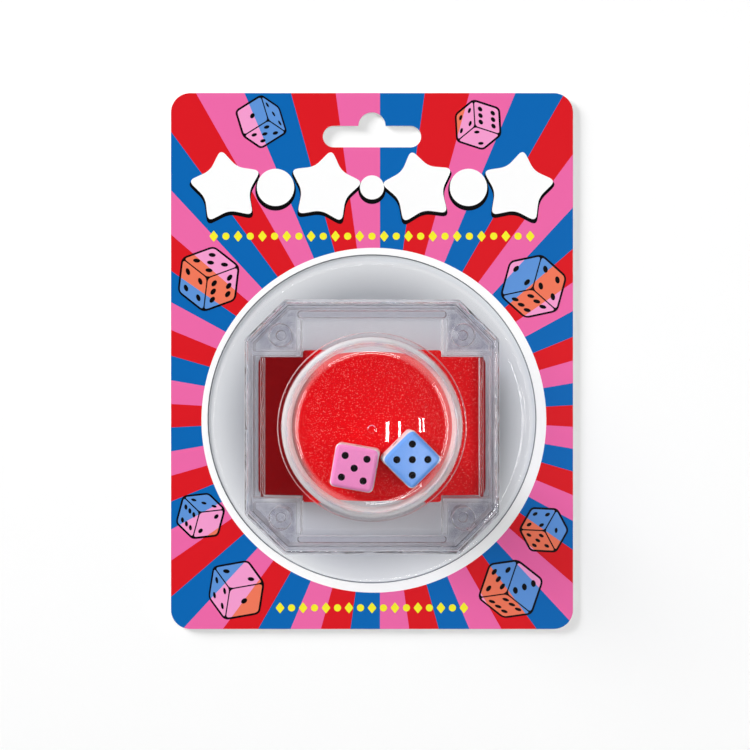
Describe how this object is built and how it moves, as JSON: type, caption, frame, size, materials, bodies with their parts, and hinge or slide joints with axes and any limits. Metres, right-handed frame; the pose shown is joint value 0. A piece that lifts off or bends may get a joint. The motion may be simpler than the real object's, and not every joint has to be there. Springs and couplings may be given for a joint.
{
  "type": "carded dice popper game",
  "caption": "Dice popper game on a hang card: a clear octagonal case with a press-down dome over a sprung red leaf and loose dice, shut in a round clear blister.",
  "frame": {"origin": "middle of the hang card's back face, which lies on the floor", "axes": "+X across the card, +Y up the card towards the hang slot, +Z out of the printed face towards the dome"},
  "size_m": [0.1334, 0.1778, 0.043],
  "materials": {
    "grey_board": "coated board, printed with a soft grey spot behind the popper",
    "printed_board": "coated board, printed with a red, pink and blue ray burst and a white ring",
    "clear_film": "clear thermoformed film",
    "clear_styrene": "clear injection-moulded styrene, gloss",
    "clear_dome": "clear injection-moulded styrene, polished",
    "red_spring_steel": "spring steel with red gloss lacquer",
    "white_die": "white moulded plastic with printed coloured faces"
  },
  "bodies": {
    "pack": {"back_card": "grey_board", "front_card": "printed_board", "blister": "clear_film", "base_tray": "clear_styrene", "top_frame": "clear_styrene"},
    "dome": {"dome": "clear_dome"},
    "leaf": {"snap_leaf": "red_spring_steel"},
    "pink_die": {"die_pink": "white_die"},
    "blue_die": {"die_blue": "white_die"}
  },
  "joints": [
    {"name": "dome_press", "type": "slide", "parent": "pack", "child": "dome", "axis": [0, 0, -1], "range_m": [0, 0.0032], "stiffness_N_per_m": 4000},
    {"name": "leaf_flex", "type": "slide", "parent": "pack", "child": "leaf", "axis": [0, 0, -1], "range_m": [0, 0.00305], "deforming": ["snap_leaf"]},
    {"name": "pink_hop", "type": "slide", "parent": "leaf", "child": "pink_die", "axis": [0, 0, 1], "range_m": [0, 0.008]},
    {"name": "blue_hop", "type": "slide", "parent": "leaf", "child": "blue_die", "axis": [0, 0, 1], "range_m": [0, 0.008]}
  ],
  "couplings": [
    {"joint": "leaf_flex", "follows": "dome_press", "ratio": 0.9375}
  ]
}
